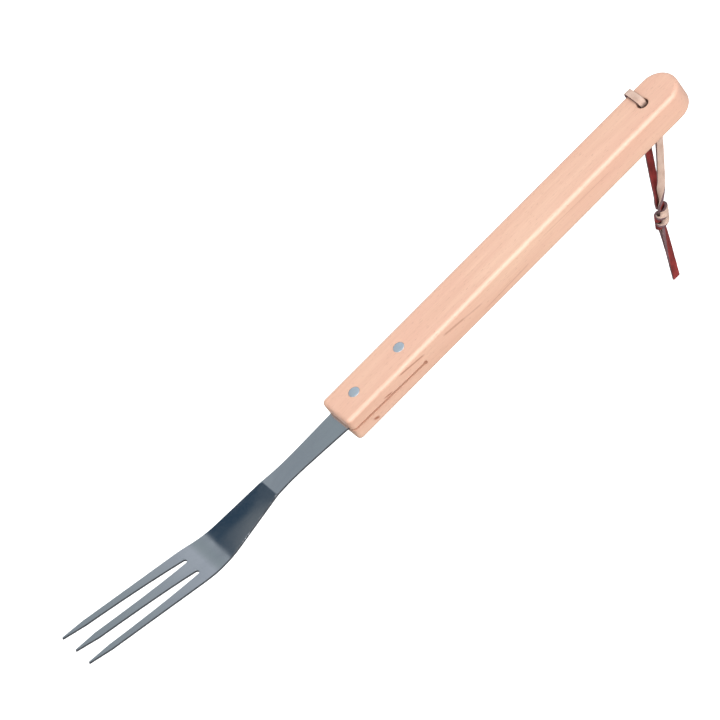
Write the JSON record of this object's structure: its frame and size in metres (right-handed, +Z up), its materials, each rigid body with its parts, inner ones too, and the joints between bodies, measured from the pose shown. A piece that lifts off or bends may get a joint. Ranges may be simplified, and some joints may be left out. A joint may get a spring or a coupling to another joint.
{
  "type": "roasting fork",
  "caption": "Roasting fork with a cranked sheet-steel blade, tapered tines, a riveted wooden handle and a knotted leather hanging lace.",
  "frame": {"origin": "middle of the grip, 65 mm from the rear end of the handle, on the handle's long axis", "axes": "+X towards the rear end of the handle and +Z up against gravity, with the tip pitched 22.5 degrees down as the fork is held; the blade's width runs along Y"},
  "size_m": [0.3882, 0.0277, 0.148],
  "materials": {
    "blade_steel": "polished stainless steel sheet",
    "beech": "fine-sanded beech, clear oiled",
    "rivet_steel": "ground flush",
    "lace_leather": "dyed strip with paler cut edges"
  },
  "bodies": {
    "fork": {"blade": "blade_steel", "handle": "beech", "rivet_front_stem": "rivet_steel", "rivet_front_barrel": "rivet_steel", "rivet_rear_stem": "rivet_steel", "rivet_rear_barrel": "rivet_steel", "lace_bight": "lace_leather"},
    "lace_loop": {"lace_strand_under": "lace_leather", "lace_strand_over": "lace_leather", "lace_knot": "lace_leather", "lace_tail_a": "lace_leather", "lace_tail_b": "lace_leather"}
  },
  "joints": [
    {"name": "lace_swing", "type": "hinge", "parent": "fork", "child": "lace_loop", "pos_m": [0.04467, 0, 0.00714], "axis": [0, 1, 0], "range_deg": [-90, 50]}
  ]
}
